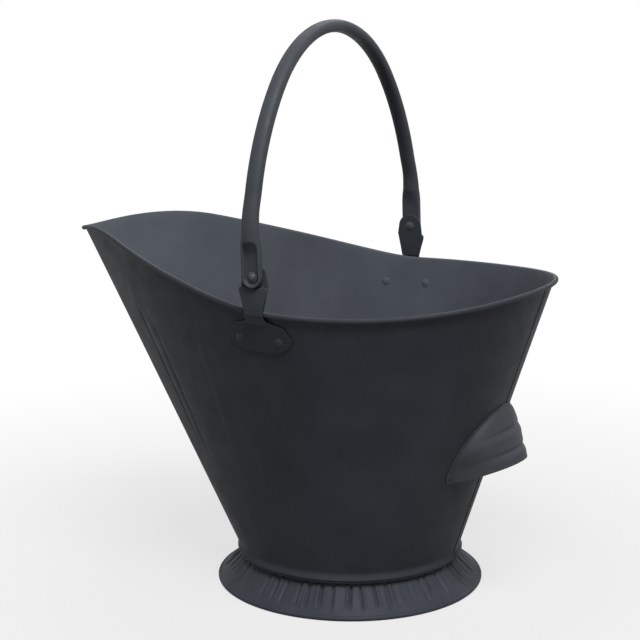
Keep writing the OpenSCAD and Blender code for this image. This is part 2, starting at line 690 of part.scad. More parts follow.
// A point of the arch at the angle b, from -90 at one bend to 90 at the other
function arch_pt(g, b, off) = let (
        y = bend_y(g) - (grip_t + touch - off), z = grip_z(g),
        z_mid = z + grip_edge_rise * g + 1.5 * grip_crest,
        foot = back_pt(max(0.2, y), z, off),
        top = back_pt(0, z_mid, 0),
        out = grip_reach * pow(g, grip_swell) - grip_t - touch + off - folded(g)
    ) [foot[0] + (top[0] - out - foot[0]) * cos(b), max(0.2, y) * sin(b), z + (z_mid - z) * cos(b)];
function grip_row(g, off) = concat(
    [for (y = [flange_y(g), (flange_y(g) + bend_y(g)) / 2])
        let (p = back_pt(y, grip_z(g), off)) [p[0], -p[1], p[2]]],
    [for (i = [-grip_arch_steps:grip_arch_steps]) arch_pt(g, 90 * i / grip_arch_steps, off)],
    [for (y = [(flange_y(g) + bend_y(g)) / 2, flange_y(g)]) back_pt(y, grip_z(g), off)]
);

module rear_grip() {
    color(paint) difference() {
        sheet_solid(
            [for (g = grip_rows) grip_row(g, touch + grip_t)],
            [for (g = grip_rows) grip_row(g, touch)]
        );
        for (s = [1, -1]) at_grip_rivet(s) rivet_hole(grip_rivet_r);
    }
}

flange_top = sheet + touch + grip_t;
module grip_rivet(s) {
    color(paint_rivet) mirrored(s) at_grip_rivet(1)
        rivet(
            grip_rivet_r, grip_head_r, grip_head_h, grip_tail_h,
            -back_facet_in - rivet_gap, flange_top + rivet_gap
        );
}

module grip_rivet_left() { grip_rivet(1); }
module grip_rivet_right() { grip_rivet(-1); }

body_shell();
rim_wire();
bottom_pan();
foot_skirt();
foot_wire();
rear_grip();
grip_rivet_left();
grip_rivet_right();
ear_left();
ear_right();
ear_rivet_left_front();
ear_rivet_left_back();
ear_rivet_right_front();
ear_rivet_right_back();
bail();
pivot_rivet_left();
pivot_rivet_right();
pivot_washer_left();
pivot_washer_right();
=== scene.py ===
import math

import bmesh
import bpy
import numpy as np
from mathutils import Matrix, Vector


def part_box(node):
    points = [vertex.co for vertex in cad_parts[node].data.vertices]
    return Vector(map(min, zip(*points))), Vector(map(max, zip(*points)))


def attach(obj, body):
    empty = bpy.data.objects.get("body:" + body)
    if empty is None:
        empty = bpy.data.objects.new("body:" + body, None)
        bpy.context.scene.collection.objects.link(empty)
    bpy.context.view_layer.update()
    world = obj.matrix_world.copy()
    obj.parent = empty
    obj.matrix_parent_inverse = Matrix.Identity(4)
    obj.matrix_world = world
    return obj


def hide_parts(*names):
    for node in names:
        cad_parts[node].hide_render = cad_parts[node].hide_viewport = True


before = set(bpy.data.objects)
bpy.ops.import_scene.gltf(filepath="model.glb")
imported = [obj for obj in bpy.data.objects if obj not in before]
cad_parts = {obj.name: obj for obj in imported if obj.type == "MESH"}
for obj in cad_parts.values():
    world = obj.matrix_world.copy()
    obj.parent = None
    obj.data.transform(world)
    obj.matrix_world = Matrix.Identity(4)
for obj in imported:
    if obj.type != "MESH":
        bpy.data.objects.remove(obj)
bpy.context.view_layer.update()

# Lengths are millimetres until a mesh is made, and angles are degrees
MM = 0.001

# Driving sizes of the hod, the same as those of its solids. Only the bail's tube, which is a little wider,
# and the grip's top, which is a little higher, follow the photo instead.
# Rim and spout: the arcs of the plan and the rim's heights
RIM_BACK_R = 144.5
RIM_BACK_SHIFT = 26.5
FLANK_R = 422.0
NOSE_REACH = 216.5
NOSE_R = 41.0
RIM_Z = 252.4
BACK_RISE = 11.8
SPOUT_CLIMB = 62.6
CLIMB_TURN = 32.0
LIP_START = 176.0
LIP_DROOP = 22.5

# Sheet, wires, foot and bottom
SHEET = 0.8
RIM_WIRE_R = 1.05
FOOT_WIRE_R = 1.2
WIRE_GAP = 0.1
FOOT_R = 113.0
BASE_R = 92.2
BASE_Z = 29.0
COLLAR_H = 2.6
HEM_R = 2.5
PAN_LIFT = 1.6

# Ears and pivots
EAR_X = 10.0
EAR_T = 1.6
PIVOT_LIFT = 29.4
EAR_TOP_R = 10.8
EAR_CORNER_W = 12.3
EAR_NECK_W = 7.7
EAR_LOBE_W = 29.5
EAR_DROP = 31.0
EAR_RIVET_DX = 18.5
EAR_RIVET_DROP = 20.5

# Bail and its flattened ends
BAIL_BOW = 1.5
BAIL_H = 183.0
CROWN_NARROW = 18.0
TUBE_T = 10.5
TUBE_W = 13.1
BAIL_LEAN = 1.9
END_R = 8.15
END_H = 26.0
WEB_T = 2.0
CHANNEL_DEPTH = 3.5
EDGE_W = 1.7

# Rear grip
GRIP_TOP = 166.4
GRIP_BOTTOM = 107.0
GRIP_HALF_W = 49.5
GRIP_FLANGE = 7.0
GRIP_REACH = 33.5
GRIP_EDGE_RISE = 14.0
GRIP_T = 1.0

# Clearance between sheets that lie on each other
TOUCH = 0.1

# The rim's plan: a nose arc, two flank arcs and a back arc, each tangent to the next
CURL_R = RIM_WIRE_R + WIRE_GAP + SHEET
SPAN = NOSE_REACH + RIM_BACK_SHIFT
TO_NOSE = FLANK_R - NOSE_R
TO_BACK = FLANK_R - RIM_BACK_R
FLANK_U = (TO_NOSE ** 2 - TO_BACK ** 2 + SPAN ** 2) / (2 * SPAN)
FLANK_V = math.sqrt(TO_NOSE ** 2 - FLANK_U ** 2)
FLANK_X = NOSE_REACH - FLANK_U
NOSE_TURN = math.degrees(math.atan2(FLANK_V, FLANK_U))
BACK_TURN = math.degrees(math.atan2(FLANK_V, -RIM_BACK_SHIFT - FLANK_X))
NOSE_X = NOSE_REACH + NOSE_R
BACK_X = -RIM_BACK_SHIFT - RIM_BACK_R


def facing(a):
    """Unit plan direction of each angle."""
    r = np.radians(a)
    return np.stack([np.cos(r), np.sin(r)], -1)


def smooth(low, high, v):
    """0 below low, 1 above high and a soft step between them."""
    t = np.clip((np.asarray(v, float) - low) / (high - low), 0, 1)
    return t * t * (3 - 2 * t)


def jitter(k, seed):
    """A fixed scatter between 0 and 1 for each whole number k."""
    return (np.sin(np.asarray(k, float) * 12.9898 + seed * 78.233) * 43758.5453) % 1


def arc_at(a):
    """Centre and radius of the rim's arc that faces each angle, from -180 to 180."""
    size = np.abs(a)
    on_nose = size < NOSE_TURN
    on_flank = (size < BACK_TURN) & ~on_nose
    x = np.where(on_nose, NOSE_REACH, np.where(on_flank, FLANK_X, -RIM_BACK_SHIFT))
    y = np.where(on_flank, -FLANK_V * np.sign(a), 0.0)
    r = np.where(on_nose, NOSE_R, np.where(on_flank, FLANK_R, RIM_BACK_R))
    return np.stack([x, y], -1), r


def rim_plan(a):
    """Plan point of the rim's wire where it faces each angle."""
    centre, r = arc_at(a)
    return centre + r[..., None] * facing(a)


def rim_height(x):
    """Height of the rim's wire at each distance forward of the foot's axis."""
    lip = np.maximum(0, (x - LIP_START) / (NOSE_X - LIP_START))
    climb = SPOUT_CLIMB * (np.sqrt(x * x + CLIMB_TURN ** 2) - CLIMB_TURN) / NOSE_X
    return np.where(x < 0, RIM_Z + BACK_RISE * (x / BACK_X) ** 3, RIM_Z + climb - LIP_DROOP * lip ** 2)


def flare(a):
    """Lean of the wall from upright where it faces each angle, in radians."""
    rim = rim_plan(a)
    out = ((rim - BASE_R * facing(a)) * facing(a)).sum(-1) - CURL_R
    return np.arctan2(out, rim_height(rim[..., 0]) - BASE_Z)


def wall_top(a):
    """Plan point and height at which the wall's inner face meets the curl."""
    rim = rim_plan(a)
    lean = flare(a)
    plan = rim - (CURL_R * np.cos(lean))[..., None] * facing(a)
    return plan, rim_height(rim[..., 0]) + CURL_R * np.sin(lean)


def wall_point(a, t, off):
    """Point of the wall that faces a, at the share t of its height, off outside its inner face."""
    a = np.asarray(a, float)
    t = np.broadcast_to(np.asarray(t, float), a.shape)
    plan, top_z = wall_top(a)
    out = (off / np.cos(flare(a)))[..., None] * facing(a)
    xy = BASE_R * facing(a) * (1 - t)[..., None] + plan * t[..., None] + out
    return np.concatenate([xy, (BASE_Z + t * (top_z - BASE_Z))[..., None]], -1)


def wall_share(a, z):
    """Share of the wall's height that the height z stands for."""
    return (z - BASE_Z) / (wall_top(a)[1] - BASE_Z)


def wall_radius(a, t):
    """Centre and radius of the wall's plan arc at the share t of its height."""
    centre, r = arc_at(a)
    return centre * t[..., None], BASE_R * (1 - t) + (r - CURL_R * np.cos(flare(a))) * t


def side_at(x, z):
    """Angle that the wall's +Y side faces at each x and height z."""
    x, z = np.broadcast_arrays(np.asarray(x, float), np.asarray(z, float))
    a = np.full(x.shape, 80.0)
    for _ in range(8):
        centre, r = wall_radius(a, wall_share(a, z))
        a = np.degrees(np.arccos(np.clip((x - centre[..., 0]) / r, -1, 1)))
    return a


def back_at(y, z):
    """Angle that the wall faces at the back at each y and height z."""
    y, z = np.broadcast_arrays(np.asarray(y, float), np.asarray(z, float))
    a = np.full(y.shape, 175.0)
    for _ in range(8):
        _, r = wall_radius(a, wall_share(a, z))
        a = 180 - np.degrees(np.arcsin(np.clip(y / r, -1, 1)))
    return a


def wall_frame(a, z):
    """Matrix in millimetres: its origin lies on the wall's inner face and its Z points straight out."""
    a = np.asarray(float(a))
    lean = float(flare(a))
    origin = Vector(wall_point(a, wall_share(a, z), 0.0))
    d = facing(a)
    normal = Vector((d[0] * math.cos(lean), d[1] * math.cos(lean), -math.sin(lean)))
    return Matrix.Translation(origin) @ normal.to_track_quat("Z", "Y").to_matrix().to_4x4()


# Mesh helpers
def grid_faces(rows, columns, wrap_rows=False, wrap_columns=False):
    """Quads of a grid of points that is stored row by row."""
    faces = []
    for i in range(rows if wrap_rows else rows - 1):
        k = (i + 1) % rows
        for j in range(columns if wrap_columns else columns - 1):
            m = (j + 1) % columns
            faces.append((i * columns + j, i * columns + m, k * columns + m, k * columns + j))
    return faces


def two_faced(outer, inner):
    """Points and faces of a sheet between two grids of points, closed along its first and last rows."""
    n, m = outer.shape[:2]
    points = np.concatenate([outer, inner[:, ::-1]], 1)
    faces = grid_faces(n, 2 * m, False, True)
    for first in (0, (n - 1) * 2 * m):
        last = first + 2 * m - 1
        faces += [(first + j, first + j + 1, last - 1 - j, last - j) for j in range(m - 1)]
    return points.reshape(-1, 3), faces


def new_piece(name, body, nodes, points, faces, sharp=38):
    """A smooth closed piece that stands for CAD nodes, from points in millimetres."""
    mesh = bpy.data.meshes.new(name)
    mesh.from_pydata((np.asarray(points, float).reshape(-1, 3) * MM).tolist(), [], faces)
    work = bmesh.new()
    work.from_mesh(mesh)
    bmesh.ops.remove_doubles(work, verts=work.verts, dist=0.004 * MM)
    bmesh.ops.dissolve_degenerate(work, edges=work.edges, dist=0.002 * MM)
    bmesh.ops.recalc_face_normals(work, faces=work.faces)
    work.to_mesh(mesh)
    work.free()
    mesh.polygons.foreach_set("use_smooth", [True] * len(mesh.polygons))
    mesh.set_sharp_from_angle(angle=math.radians(sharp))
    mesh.update()
    piece = bpy.data.objects.new(name, mesh)
    bpy.context.scene.collection.objects.link(piece)
    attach(piece, body)
    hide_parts(*nodes)
    return piece


def strip_outline(line, t):
    """Closed outline of a strip of thickness t along a line of 2-D points."""
    line = np.asarray(line, float)
    step = np.diff(line, axis=0)
    step /= np.linalg.norm(step, axis=1)[:, None]
    before = np.vstack([step[:1], step])
    after = np.vstack([step, step[-1:]])
    along = before + after
    along /= np.linalg.norm(along, axis=1)[:, None]
    side = np.stack([-along[:, 1], along[:, 0]], -1) / (along * after).sum(1)[:, None]
    return np.vstack([line - side * t / 2, (line + side * t / 2)[::-1]])


def turned(outline, angles):
    """Points of a closed outline of (radius, height) pairs turned round the Z axis."""
    d = facing(angles)
    r = outline[None, :, 0]
    z = np.broadcast_to(outline[None, :, 1], (len(angles), len(outline)))
    return np.stack([r * d[:, :1], r * d[:, 1:], z], -1)


def arc_points(centre, r, angles):
    """Points of an arc in a plane."""
    return np.asarray(centre, float) + r * facing(np.asarray(angles, float))


# Body: one sheet with its curl round the rim's wire and a lap seam at the back
# Lap seam: angles of its visible edge, of the edge inside and of the end of the sheet's joggle,
# half width of each step in degrees, and the height of the step
LAP_EDGE = 182.5
LAP_END = 187.5
LAP_RAMP = 190.5
STEP = 0.14
LAP_STEP = 0.55

# Angle by which the rim's curl goes round its wire
CURL_TURN = 292

# Ranges of angles where the creases need finer steps: first, last and step
CREASED = [(53, 61, 0.22), (69, 73.5, 0.3)]


def body_angles():
    """Angles of the body's columns, closer together at the nose, the creases and the lap."""
    nose = np.linspace(0, NOSE_TURN, 34)[:-1]
    plain = np.linspace(NOSE_TURN, BACK_TURN, 46)[:-1]
    flank = np.concatenate([plain] + [np.arange(*span) for span in CREASED])
    back = np.linspace(BACK_TURN, 180, 66)
    half = np.concatenate([nose, flank, back])
    seam = [v - 360 for v in (LAP_EDGE - STEP, LAP_EDGE + STEP, LAP_END - STEP, LAP_END + STEP, LAP_RAMP)]
    return np.unique(np.round(np.concatenate([half, -half[1:-1], seam]), 4))


def lap_offsets(a):
    """How far the inner and outer faces stand off the wall's plain inner face."""
    b = np.where(a < 0, a + 360, a)
    ramp = 1 - smooth(LAP_END, LAP_RAMP, b)
    over = (b > LAP_EDGE) * np.where(b < LAP_END, 1.0, ramp)
    under = (b > LAP_END) * ramp
    return LAP_STEP * under, SHEET + LAP_STEP * over


# Creases that bending left on the spout: angle, depth, half width and the shares of the height
# between which each runs. A negative depth is a ridge.
CREASES = [
    (54.6, 0.62, 0.55, 0.4, 0.77), (58.4, 0.48, 0.5, 0.38, 0.74), (56.5, -0.22, 0.8, 0.38, 0.76),
    (70.3, 0.22, 0.7, 0.5, 0.8), (71.9, -0.16, 0.8, 0.5, 0.8),
    (-55.4, 0.5, 0.6, 0.42, 0.74), (-59.0, 0.4, 0.55, 0.4, 0.72), (-57.2, -0.2, 0.8, 0.4, 0.74),
    (31.0, 0.3, 2.4, 0.1, 0.9), (-33.0, 0.3, 2.4, 0.1, 0.9),
]


def panel_wave(a, t):
    """Slight unevenness of the rolled sheet."""
    fade = np.sin(np.pi * np.clip(t, 0, 1)) ** 0.6
    wave = 0.16 * np.sin(np.radians(a * 5 + 60 * t)) + 0.1 * np.sin(np.radians(a * 9 - 140 * t + 40))
    wave = wave * fade
    for at, depth, width, low, high in CREASES:
        run = smooth(low - 0.12, low + 0.1, t) * (1 - smooth(high - 0.05, high + 0.03, t))
        wave = wave - depth * np.exp(-(((a - at) / width) ** 2)) * run
    return wave


def curl_point(a, r, s):
    """Point of the rim's curl at the radius r and the angle s round its wire, from the wall's inner face."""
    rim = rim_plan(a)
    b = flare(a) + math.radians(s)
    xy = rim - (r * np.cos(b))[..., None] * facing(a)
    return np.concatenate([xy, (rim_height(rim[..., 0]) + r * np.sin(b))[..., None]], -1)


# The wall's foot swells out over the hem: heights over the wall's foot between which the swell fades out,
# how far it stands out at its lower end, and the power that makes it hollow
SWELL_LOW = -1.4
SWELL_H = 6.8
SWELL_OUT = 3.0
SWELL_POWER = 1.9

# Points at which the swell turns under: distance in from its widest and depth under the wall's foot
SWELL_TURN = [(0.0, 0.7), (0.2, 1.4), (0.7, 2.0), (1.4, 2.35), (2.2, 2.45)]


def swell(z):
    """How far the wall's outer face stands out at each height near the hem."""
    return SWELL_OUT * (1 - smooth(BASE_Z + SWELL_LOW, BASE_Z + SWELL_H, z)) ** SWELL_POWER


def make_body():
    a = body_angles()
    inner, outer = lap_offsets(a)
    shares = np.linspace(0, 1, 37)[:-1]
    curl = np.linspace(0, CURL_TURN, 22)
    notch = 1 - 2.2 * CURL_R / (wall_top(a)[1] - BASE_Z)
    columns = []

    def collar(off):
        low = np.full((len(a), 1), BASE_Z - COLLAR_H)
        return np.concatenate([(BASE_R + off)[:, None] * facing(a), low], -1)

    columns.append(collar(inner))
    columns += [wall_point(a, t, inner * (1 - smooth(0.93, 0.99, t)) + panel_wave(a, t)) for t in shares]
    columns += [curl_point(a, CURL_R, s) for s in curl]
    columns += [curl_point(a, CURL_R - SHEET, s) for s in curl[::-1]]
    columns.append(wall_point(a, 1 - 1.2 * CURL_R / (wall_top(a)[1] - BASE_Z), np.full(a.shape, SHEET)))
    columns.append(wall_point(a, notch, outer))
    columns += [wall_point(a, t, outer + panel_wave(a, t)) for t in shares[:1:-1]]
    for z in BASE_Z + SWELL_H * np.linspace(1, 0, 9):
        t = wall_share(a, z)
        columns.append(wall_point(a, t, outer + panel_wave(a, t) + swell(z)))
    for out, down in SWELL_TURN:
        columns.append(collar(outer + SWELL_OUT - out) + [0, 0, COLLAR_H - down])
    columns.append(collar(outer))
    points = np.stack(columns, 1)
    faces = grid_faces(len(a), len(columns), True, True)
    return new_piece("body_sheet", "bucket", ["body_shell"], points, faces)


# Bottom disc, with a flange inside the body's collar and a rolled hem round it
# The hem is drawn tighter than in the solids, so that the wall's swell hides it
PAN_Z = BASE_Z + PAN_LIFT
FLANGE_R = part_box("bottom_pan")[1].x / MM - 2 * HEM_R + SHEET / 2
HEM_MID = 1.4
HEM_C = (FLANGE_R + HEM_MID, BASE_Z - COLLAR_H + 0.5)


def make_bottom():
    bend = 1.2
    crown = [(r, PAN_Z - SHEET / 2 + 0.5 * (1 - (r / 84) ** 2)) for r in np.linspace(0, 84, 15)]
    corner = arc_points((FLANGE_R - bend, PAN_Z - SHEET / 2 - bend), bend, np.linspace(90, 0, 7))
    hem = arc_points(HEM_C, HEM_MID, np.linspace(180, 430, 27))
    outline = strip_outline(np.vstack([crown, corner, hem]), SHEET)
    outline[:, 0] = np.maximum(outline[:, 0], 0)
    angles = np.arange(0, 360, 1.5)
    points = turned(outline, angles)
    faces = grid_faces(len(angles), len(outline), True, True)
    return new_piece("bottom_disc", "bucket", ["bottom_pan"], points, faces)


# Crimped foot
CRIMPS = 58
CRIMP_DEPTH = 1.9

# Stretches of the ring with flatter crimps, each the angle of its middle and its half width,
# and the share of the depth that is missing there
SMOOTHER = [(42, 26), (205, 24)]
SLACK = 0.6

# Shares of the way out and of the way down at which the two inner control points of the flare lie
FLARE_OUT = (0.17, 0.63)
FLARE_DOWN = (0.24, 0.7)

# Shares of the crimps' depth by which they push the foot's sheet outward and upward
PUSH_OUT = 0.75
PUSH_UP = 0.6

FOOT_CURL_IN = FOOT_WIRE_R + WIRE_GAP
FOOT_CURL_C = (FOOT_R - FOOT_CURL_IN - SHEET, FOOT_CURL_IN + SHEET)
COLLAR_R = FLANGE_R - SHEET - TOUCH
NECK_Z = BASE_Z - 5.3


def crimps(angles, s):
    """How far each point is pushed out by uneven flutes, each a narrow valley beside a rounder ridge."""
    pitch = 360 / CRIMPS
    push = np.zeros((len(angles), len(s)))
    for k in range(CRIMPS):
        at = pitch * (k + 0.5 + 0.5 * (jitter(k, 1) - 0.5)) + pitch * 0.35 * (jitter(k, 5) - 0.5) * (s - 0.5)
        away = (angles[:, None] - at[None, :] + 180) % 360 - 180
        width = pitch * (0.1 + 0.07 * jitter(k, 3))
        side = 1 if jitter(k, 4) > 0.4 else -1
        slack = sum(SLACK * math.exp(-(((pitch * k - middle) / half) ** 2)) for middle, half in SMOOTHER)
        depth = CRIMP_DEPTH * (0.35 + 0.65 * jitter(k, 2)) * (1 - slack)
        valley = np.exp(-((away / width) ** 2))
        ridge = np.exp(-(((away - side * 2.0 * width) / (1.15 * width)) ** 2))
        low = 0.68 + 0.2 * jitter(k, 6)
        run = smooth(0.0, 0.08, s) * (1 - smooth(low - 0.16, low + 0.06, s))
        push += depth * (0.55 * ridge - valley) * run[None, :]
    return push


def flared(s, near, far):
    """Cubic run from 0 to 1 whose two inner control points lie at near and far."""
    return 3 * (1 - s) ** 2 * s * near + 3 * (1 - s) * s ** 2 * far + s ** 3


def make_foot():
    angles = np.arange(0, 360, 360 / (CRIMPS * 16))
    low = arc_points(FOOT_CURL_C, FOOT_CURL_IN + SHEET / 2, [104])[0]
    neck = np.array([COLLAR_R, NECK_Z])
    span = low - neck
    s = np.linspace(0, 1, 20)
    flank = neck + np.stack([span[0] * flared(s, *FLARE_OUT), span[1] * flared(s, *FLARE_DOWN)], -1)
    curl = arc_points(FOOT_CURL_C, FOOT_CURL_IN + SHEET / 2, np.linspace(88, -235, 21))
    top = [(COLLAR_R, z) for z in np.linspace(PAN_Z - 2 * SHEET - TOUCH, NECK_Z + 0.8, 3)]
    outline = strip_outline(np.vstack([top, flank, curl]), SHEET)
    depth = np.zeros((len(angles), len(outline)))
    rows = np.arange(len(top), len(top) + len(s))
    depth[:, rows] = crimps(angles, s)
    depth[:, len(outline) - 1 - rows] = depth[:, rows]
    points = turned(outline, angles)
    d = facing(angles)
    points[..., 0] += depth * d[:, :1] * PUSH_OUT
    points[..., 1] += depth * d[:, 1:] * PUSH_OUT
    points[..., 2] += depth * PUSH_UP
    points[..., 2] = np.maximum(points[..., 2], 0)
    faces = grid_faces(len(angles), len(outline), True, True)
    return new_piece("foot_ring", "bucket", ["foot_skirt"], points, faces)


# Rear grip: a hood that springs from a flange on the wall, with two folds across it
# Seen from behind its upper part is half an oval, widest at GRIP_OVAL_Z. The hood starts GRIP_CREST under
# the flange's top, and GRIP_CORNER rounds the flange's lower corners.
GRIP_OVAL_Z = GRIP_BOTTOM + 10.5
GRIP_OVAL_H = GRIP_TOP - GRIP_OVAL_Z
GRIP_CREST = 0.8
GRIP_CORNER = 7.0

# Width of the flange at the grip's top, where it is narrower than at the rivets
GRIP_FLANGE_TOP = 2.6

# Power by which the hood stands out from its top to its bottom, and rounds of smoothing of each row
GRIP_SWELL = 0.94
GRIP_SOFTENING = 6

# Folds: share of the height from the top, depth, and half widths of the valley and of the ridge below it
FOLDS = [(0.43, 1.3, 0.04, 0.06), (0.775, 1.3, 0.04, 0.06)]


def grip_height(g):
    """Height of the grip's row at the share g of the way down."""
    return GRIP_TOP - GRIP_CREST - (GRIP_TOP - GRIP_CREST - GRIP_BOTTOM) * g


def oval_y(half_w, h, z):
    """Half width, at the height z, of an oval top of the given half width and height."""
    share = np.clip((z - GRIP_OVAL_Z) / h, 0, 1)
    return half_w * np.sqrt(1 - share ** 2)


def flange_y(g):
    """Half width of the flange, with its lower corners rounded."""
    r = GRIP_CORNER
    z = grip_height(g) - GRIP_BOTTOM
    cut = np.where(z < r, r - np.sqrt(np.maximum(0, r ** 2 - (r - z) ** 2)), 0)
    return oval_y(GRIP_HALF_W, GRIP_OVAL_H, grip_height(g)) - cut


def bend_y(g):
    """Half width at which the hood leaves the flange, which is full at the rivets and narrow above them."""
    flange = GRIP_FLANGE_TOP + (GRIP_FLANGE - GRIP_FLANGE_TOP) * smooth(0.5, 0.85, g)
    return np.maximum(1, oval_y(GRIP_HALF_W - flange, GRIP_OVAL_H - GRIP_CREST, grip_height(g)))


def back_point(y, z, off):
    """Point at the back of the wall, off outside its outer face."""
    a = back_at(np.abs(y), z)
    a = np.where(y < 0, -a, a)
    return wall_point(a, wall_share(a, z), SHEET + off)


def folded(g):
    """How far the folds press the hood in at the share g of the way down."""
    wave = 0
    for at, depth, valley, ridge in FOLDS:
        wave = wave + depth * np.exp(-(((g - at) / valley) ** 2))
        wave = wave - 0.45 * depth * np.exp(-(((g - at - 1.7 * ridge) / ridge) ** 2))
    return wave


def grip_sheet(rows, arch, off):
    """Grid of points of the grip, off outside the wall's outer face."""
    grid = []
    flange = np.linspace(0, 1, 7)[:-1]
    for g in rows:
        z = grip_height(g)
        z_mid = z + GRIP_EDGE_RISE * g + 1.5 * GRIP_CREST
        y_bend = max(0.2, float(bend_y(g)) - (GRIP_T + TOUCH - off))
        foot = back_point(np.array(y_bend), z, off)
        top = back_point(np.array(0.0), z_mid, 0.0)
        b = np.radians(arch)
        reach = GRIP_REACH * g ** GRIP_SWELL - GRIP_T - TOUCH + off - folded(g) * np.cos(b) ** 1.5
        x = foot[0] + (top[0] - reach - foot[0]) * np.cos(b)
        hood = np.stack([x, y_bend * np.sin(b), z + (z_mid - z) * np.cos(b)], -1)
        edge = float(flange_y(g))
        y = edge + (max(float(bend_y(g)), 0.2) - edge) * flange
        side = back_point(y, np.full(y.shape, z), off)
        row = np.vstack([side * [1, -1, 1], hood, side[::-1]])
        for _ in range(GRIP_SOFTENING):
            row[1:-1] = 0.5 * row[1:-1] + 0.25 * (row[:-2] + row[2:])
        grid.append(row)
    return np.array(grid)


def make_grip():
    rows = np.concatenate([np.linspace(0.004, 0.1, 9)[:-1], np.linspace(0.1, 1, 64)])
    arch = np.linspace(-90, 90, 49)
    points, faces = two_faced(grip_sheet(rows, arch, TOUCH + GRIP_T), grip_sheet(rows, arch, TOUCH))
    return new_piece("grip_hood", "bucket", ["rear_grip"], points, faces)


# Ears
PIVOT_Z = RIM_Z + PIVOT_LIFT

# How far the front sheet stands off the rim's side, and how far the back plate lies inside it
FRONT_STAND = 2.3
BACK_STAND = 0.8
RIM_SIDE_Y = -FLANK_V + math.sqrt(FLANK_R ** 2 - (EAR_X - FLANK_X) ** 2) + CURL_R
FRONT_Y = RIM_SIDE_Y + FRONT_STAND
BACK_PLATE_Y = RIM_SIDE_Y - BACK_STAND
WEB_Y = BACK_PLATE_Y + EAR_T + 0.4
LEDGE_R = END_R + 0.5

# Height of the upper plate's corners, from the pivot and from the rim's wire
CORNER_Z = -7.2
EAR_CORNER_Z = PIVOT_LIFT + CORNER_Z

# Grain of the two passes that fuse the ear's parts, and the share of its faces that stays
FUSE_GRAIN = 0.3
FINE_GRAIN = 0.28
FACES_KEPT = 0.22

# Rows of the ear's front sheet: height from the rim's wire, share by which it follows the wall,
# distance off the wall, half width
EAR_ROWS = [
    (EAR_CORNER_Z + 0.2, 0, 0, EAR_CORNER_W - 2.8), (EAR_CORNER_Z - 0.4, 0, 0, EAR_CORNER_W - 1.2),
    (EAR_CORNER_Z - 1.6, 0, 0, EAR_CORNER_W - 0.3), (EAR_CORNER_Z - 4.2, 0, 0, EAR_CORNER_W - 0.3),
    (10, 0, 0, EAR_NECK_W + 2.0), (3.2, 0, 0, EAR_NECK_W + 0.3), (-0.6, 0, 0, EAR_NECK_W + 0.3),
    (-3, 0.35, 1.6, EAR_NECK_W + 0.7), (-5.4, 1, 1.6, EAR_NECK_W + 1.9),
    (-7.4, 1, 0.5, EAR_LOBE_W * 0.52), (-8.8, 1, TOUCH, EAR_LOBE_W * 0.76),
    (-11, 1, TOUCH, EAR_LOBE_W * 0.84), (-14.5, 1, TOUCH, EAR_LOBE_W * 0.9),
    (-18.2, 1, TOUCH, EAR_LOBE_W), (-22.5, 1, TOUCH, EAR_LOBE_W * 0.97),
    (5 - EAR_DROP, 1, TOUCH, EAR_LOBE_W * 0.86), (2 - EAR_DROP, 1, TOUCH, EAR_LOBE_W * 0.66),
    (-EAR_DROP, 1, TOUCH, EAR_LOBE_W * 0.42),
]


def ear_side_shell():
    """Points and faces of the ear's front sheet on the +Y side."""
    rows = np.array(EAR_ROWS, float)
    heights = np.concatenate([np.linspace(rows[0, 0], -2, 24)[:-1], np.linspace(-2, -12, 26)[:-1],
                              np.linspace(-12, -EAR_DROP, 24)])
    sides = np.stack([np.interp(-heights, -rows[:, 0], rows[:, k]) for k in (1, 2, 3)], -1)
    columns = np.linspace(-1, 1, 25)
    grids = []
    for off in (EAR_T, 0.0):
        grid = []
        for z0, (share, stand, half_w) in zip(heights, sides):
            x = EAR_X + half_w * columns
            z = np.full(x.shape, RIM_Z + z0)
            a = side_at(x, z)
            on = wall_point(a, wall_share(a, z), SHEET + stand + off)
            flat = np.stack([x, np.full(x.shape, FRONT_Y + off), z], -1)
            grid.append(flat * (1 - share) + on * share)
        grids.append(np.array(grid))
    return two_faced(*grids)


def plate(outline, y0, y1):
    """Points and faces of a flat plate that faces Y, its outline given in x and z from the pivot."""
    n = len(outline)
    x = EAR_X + np.asarray(outline, float)[:, 0]
    z = PIVOT_Z + np.asarray(outline, float)[:, 1]
    points = np.vstack([np.stack([x, np.full(n, y), z], -1) for y in (y0, y1)])
    faces = [(i, (i + 1) % n, n + (i + 1) % n, n + i) for i in range(n)]
    return points, faces + [tuple(range(n)), tuple(range(2 * n - 1, n - 1, -1))]


def join(parts):
    """One array of points and one list of faces from several such pairs."""
    points, faces, first = [], [], 0
    for p, f in parts:
        points.append(p)
        faces += [tuple(first + v for v in face) for face in f]
        first += len(p)
    return np.vstack(points), faces


def mesh_from(name, points, faces):
    """A closed mesh from points in millimetres, with its faces turned outward."""
    mesh = bpy.data.meshes.new(name)
    mesh.from_pydata((points * MM).tolist(), [], faces)
    work = bmesh.new()
    work.from_mesh(mesh)
    bmesh.ops.recalc_face_normals(work, faces=work.faces)
    work.to_mesh(mesh)
    work.free()
    return mesh


def apply_modifiers(piece):
    """Swaps the piece's mesh for the one that its modifiers make."""
    depsgraph = bpy.context.evaluated_depsgraph_get()
    made = bpy.data.meshes.new_from_object(piece.evaluated_get(depsgraph))
    piece.modifiers.clear()
    piece.data = made


